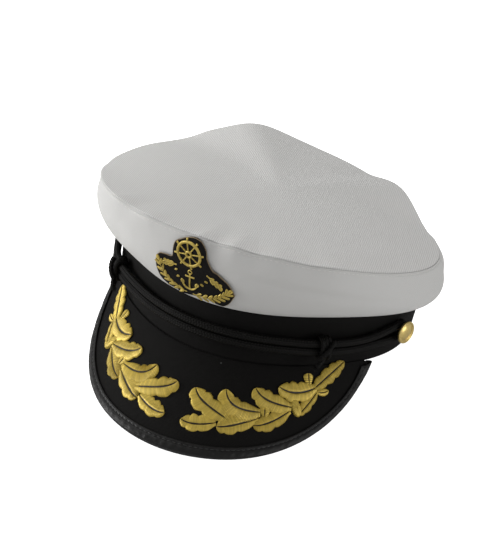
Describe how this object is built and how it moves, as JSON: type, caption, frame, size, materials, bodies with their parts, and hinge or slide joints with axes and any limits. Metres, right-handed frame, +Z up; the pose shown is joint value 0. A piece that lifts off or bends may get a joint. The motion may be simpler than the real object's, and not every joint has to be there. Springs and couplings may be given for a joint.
{
  "type": "military peaked cap",
  "caption": "Peaked cap with a soft white crown, black band, sloping cloth-covered visor with raised gold leaf sprays, chin cord and side buttons.",
  "frame": {"origin": "centre of the bounding box in plan, on the surface that the cap stands on: the visor's front edge and the back of the band's lower edge rest there", "axes": "-Y towards the front of the visor, +X towards the wearer's left, +Z up from the table"},
  "size_m": [0.2058, 0.2568, 0.118],
  "materials": {
    "band_twill": "matt black twill",
    "stiffener_board": "raw fibreboard",
    "sweatband_leather": "smooth dark brown",
    "crown_twill": "white cotton twill",
    "grommet_plastic": "plain natural plastic",
    "stay_buckram": "stiffened canvas",
    "lining_cloth": "thin white lining",
    "visor_board": "plain black sheet",
    "visor_twill": "matt black twill",
    "visor_underside": "black coated cloth",
    "binding_vinyl": "black patent edging",
    "gold_thread": "gold satin stitch",
    "badge_felt": "black felt",
    "cord_braid": "black braid",
    "button_gilt": "gilt, polished",
    "button_brass": "plain stamped",
    "washer_steel": "plain"
  },
  "bodies": {
    "cap": {"badge_embroidery": "gold_thread", "badge_patch": "badge_felt", "band_cover": "band_twill", "band_stiffener": "stiffener_board", "button_washer_left": "washer_steel", "button_washer_right": "washer_steel", "crown_grommet": "grommet_plastic", "crown_lining": "lining_cloth", "crown_side_back": "crown_twill", "crown_side_front": "crown_twill", "crown_top": "crown_twill", "front_stay": "stay_buckram", "leaf_spray_left": "gold_thread", "leaf_spray_right": "gold_thread", "sweatband": "sweatband_leather", "visor_binding": "binding_vinyl", "visor_board": "visor_board", "visor_top_cloth": "visor_twill", "visor_under_cloth": "visor_underside"},
    "chin_cord": {"chin_cord_upper": "cord_braid", "chin_cord_lower": "cord_braid"},
    "slip_knot_left": {"slip_knot_left": "cord_braid", "cord_tail_left": "cord_braid"},
    "slip_knot_right": {"slip_knot_right": "cord_braid", "cord_tail_right": "cord_braid"},
    "button_left": {"button_face_left": "button_gilt", "button_back_left": "button_brass"},
    "button_right": {"button_face_right": "button_gilt", "button_back_right": "button_brass"}
  },
  "joints": [
    {"name": "chin_cord_swing", "type": "hinge", "parent": "cap", "child": "chin_cord", "pos_m": [0, 0.01273, 0.03762], "axis": [-0.9878, 0.153, -0.0291], "range_deg": [-4.5, 4]},
    {"name": "slip_knot_left_slide", "type": "hinge", "parent": "chin_cord", "child": "slip_knot_left", "pos_m": [-0.01419, 0.02043, 0.03382], "axis": [0, 0.1869, 0.9824], "range_deg": [-6, 6]},
    {"name": "slip_knot_right_slide", "type": "hinge", "parent": "chin_cord", "child": "slip_knot_right", "pos_m": [0.00349, 0.01723, 0.03523], "axis": [0, 0.1869, 0.9824], "range_deg": [-6, 6]},
    {"name": "button_left_turn", "type": "hinge", "parent": "cap", "child": "button_left", "pos_m": [0.08521, -0.00047, 0.04013], "axis": [0.926, -0.3582, 0.119], "continuous": true},
    {"name": "button_right_turn", "type": "hinge", "parent": "cap", "child": "button_right", "pos_m": [-0.08849, 0.02644, 0.03501], "axis": [-0.9963, -0.0591, 0.0621], "continuous": true}
  ]
}
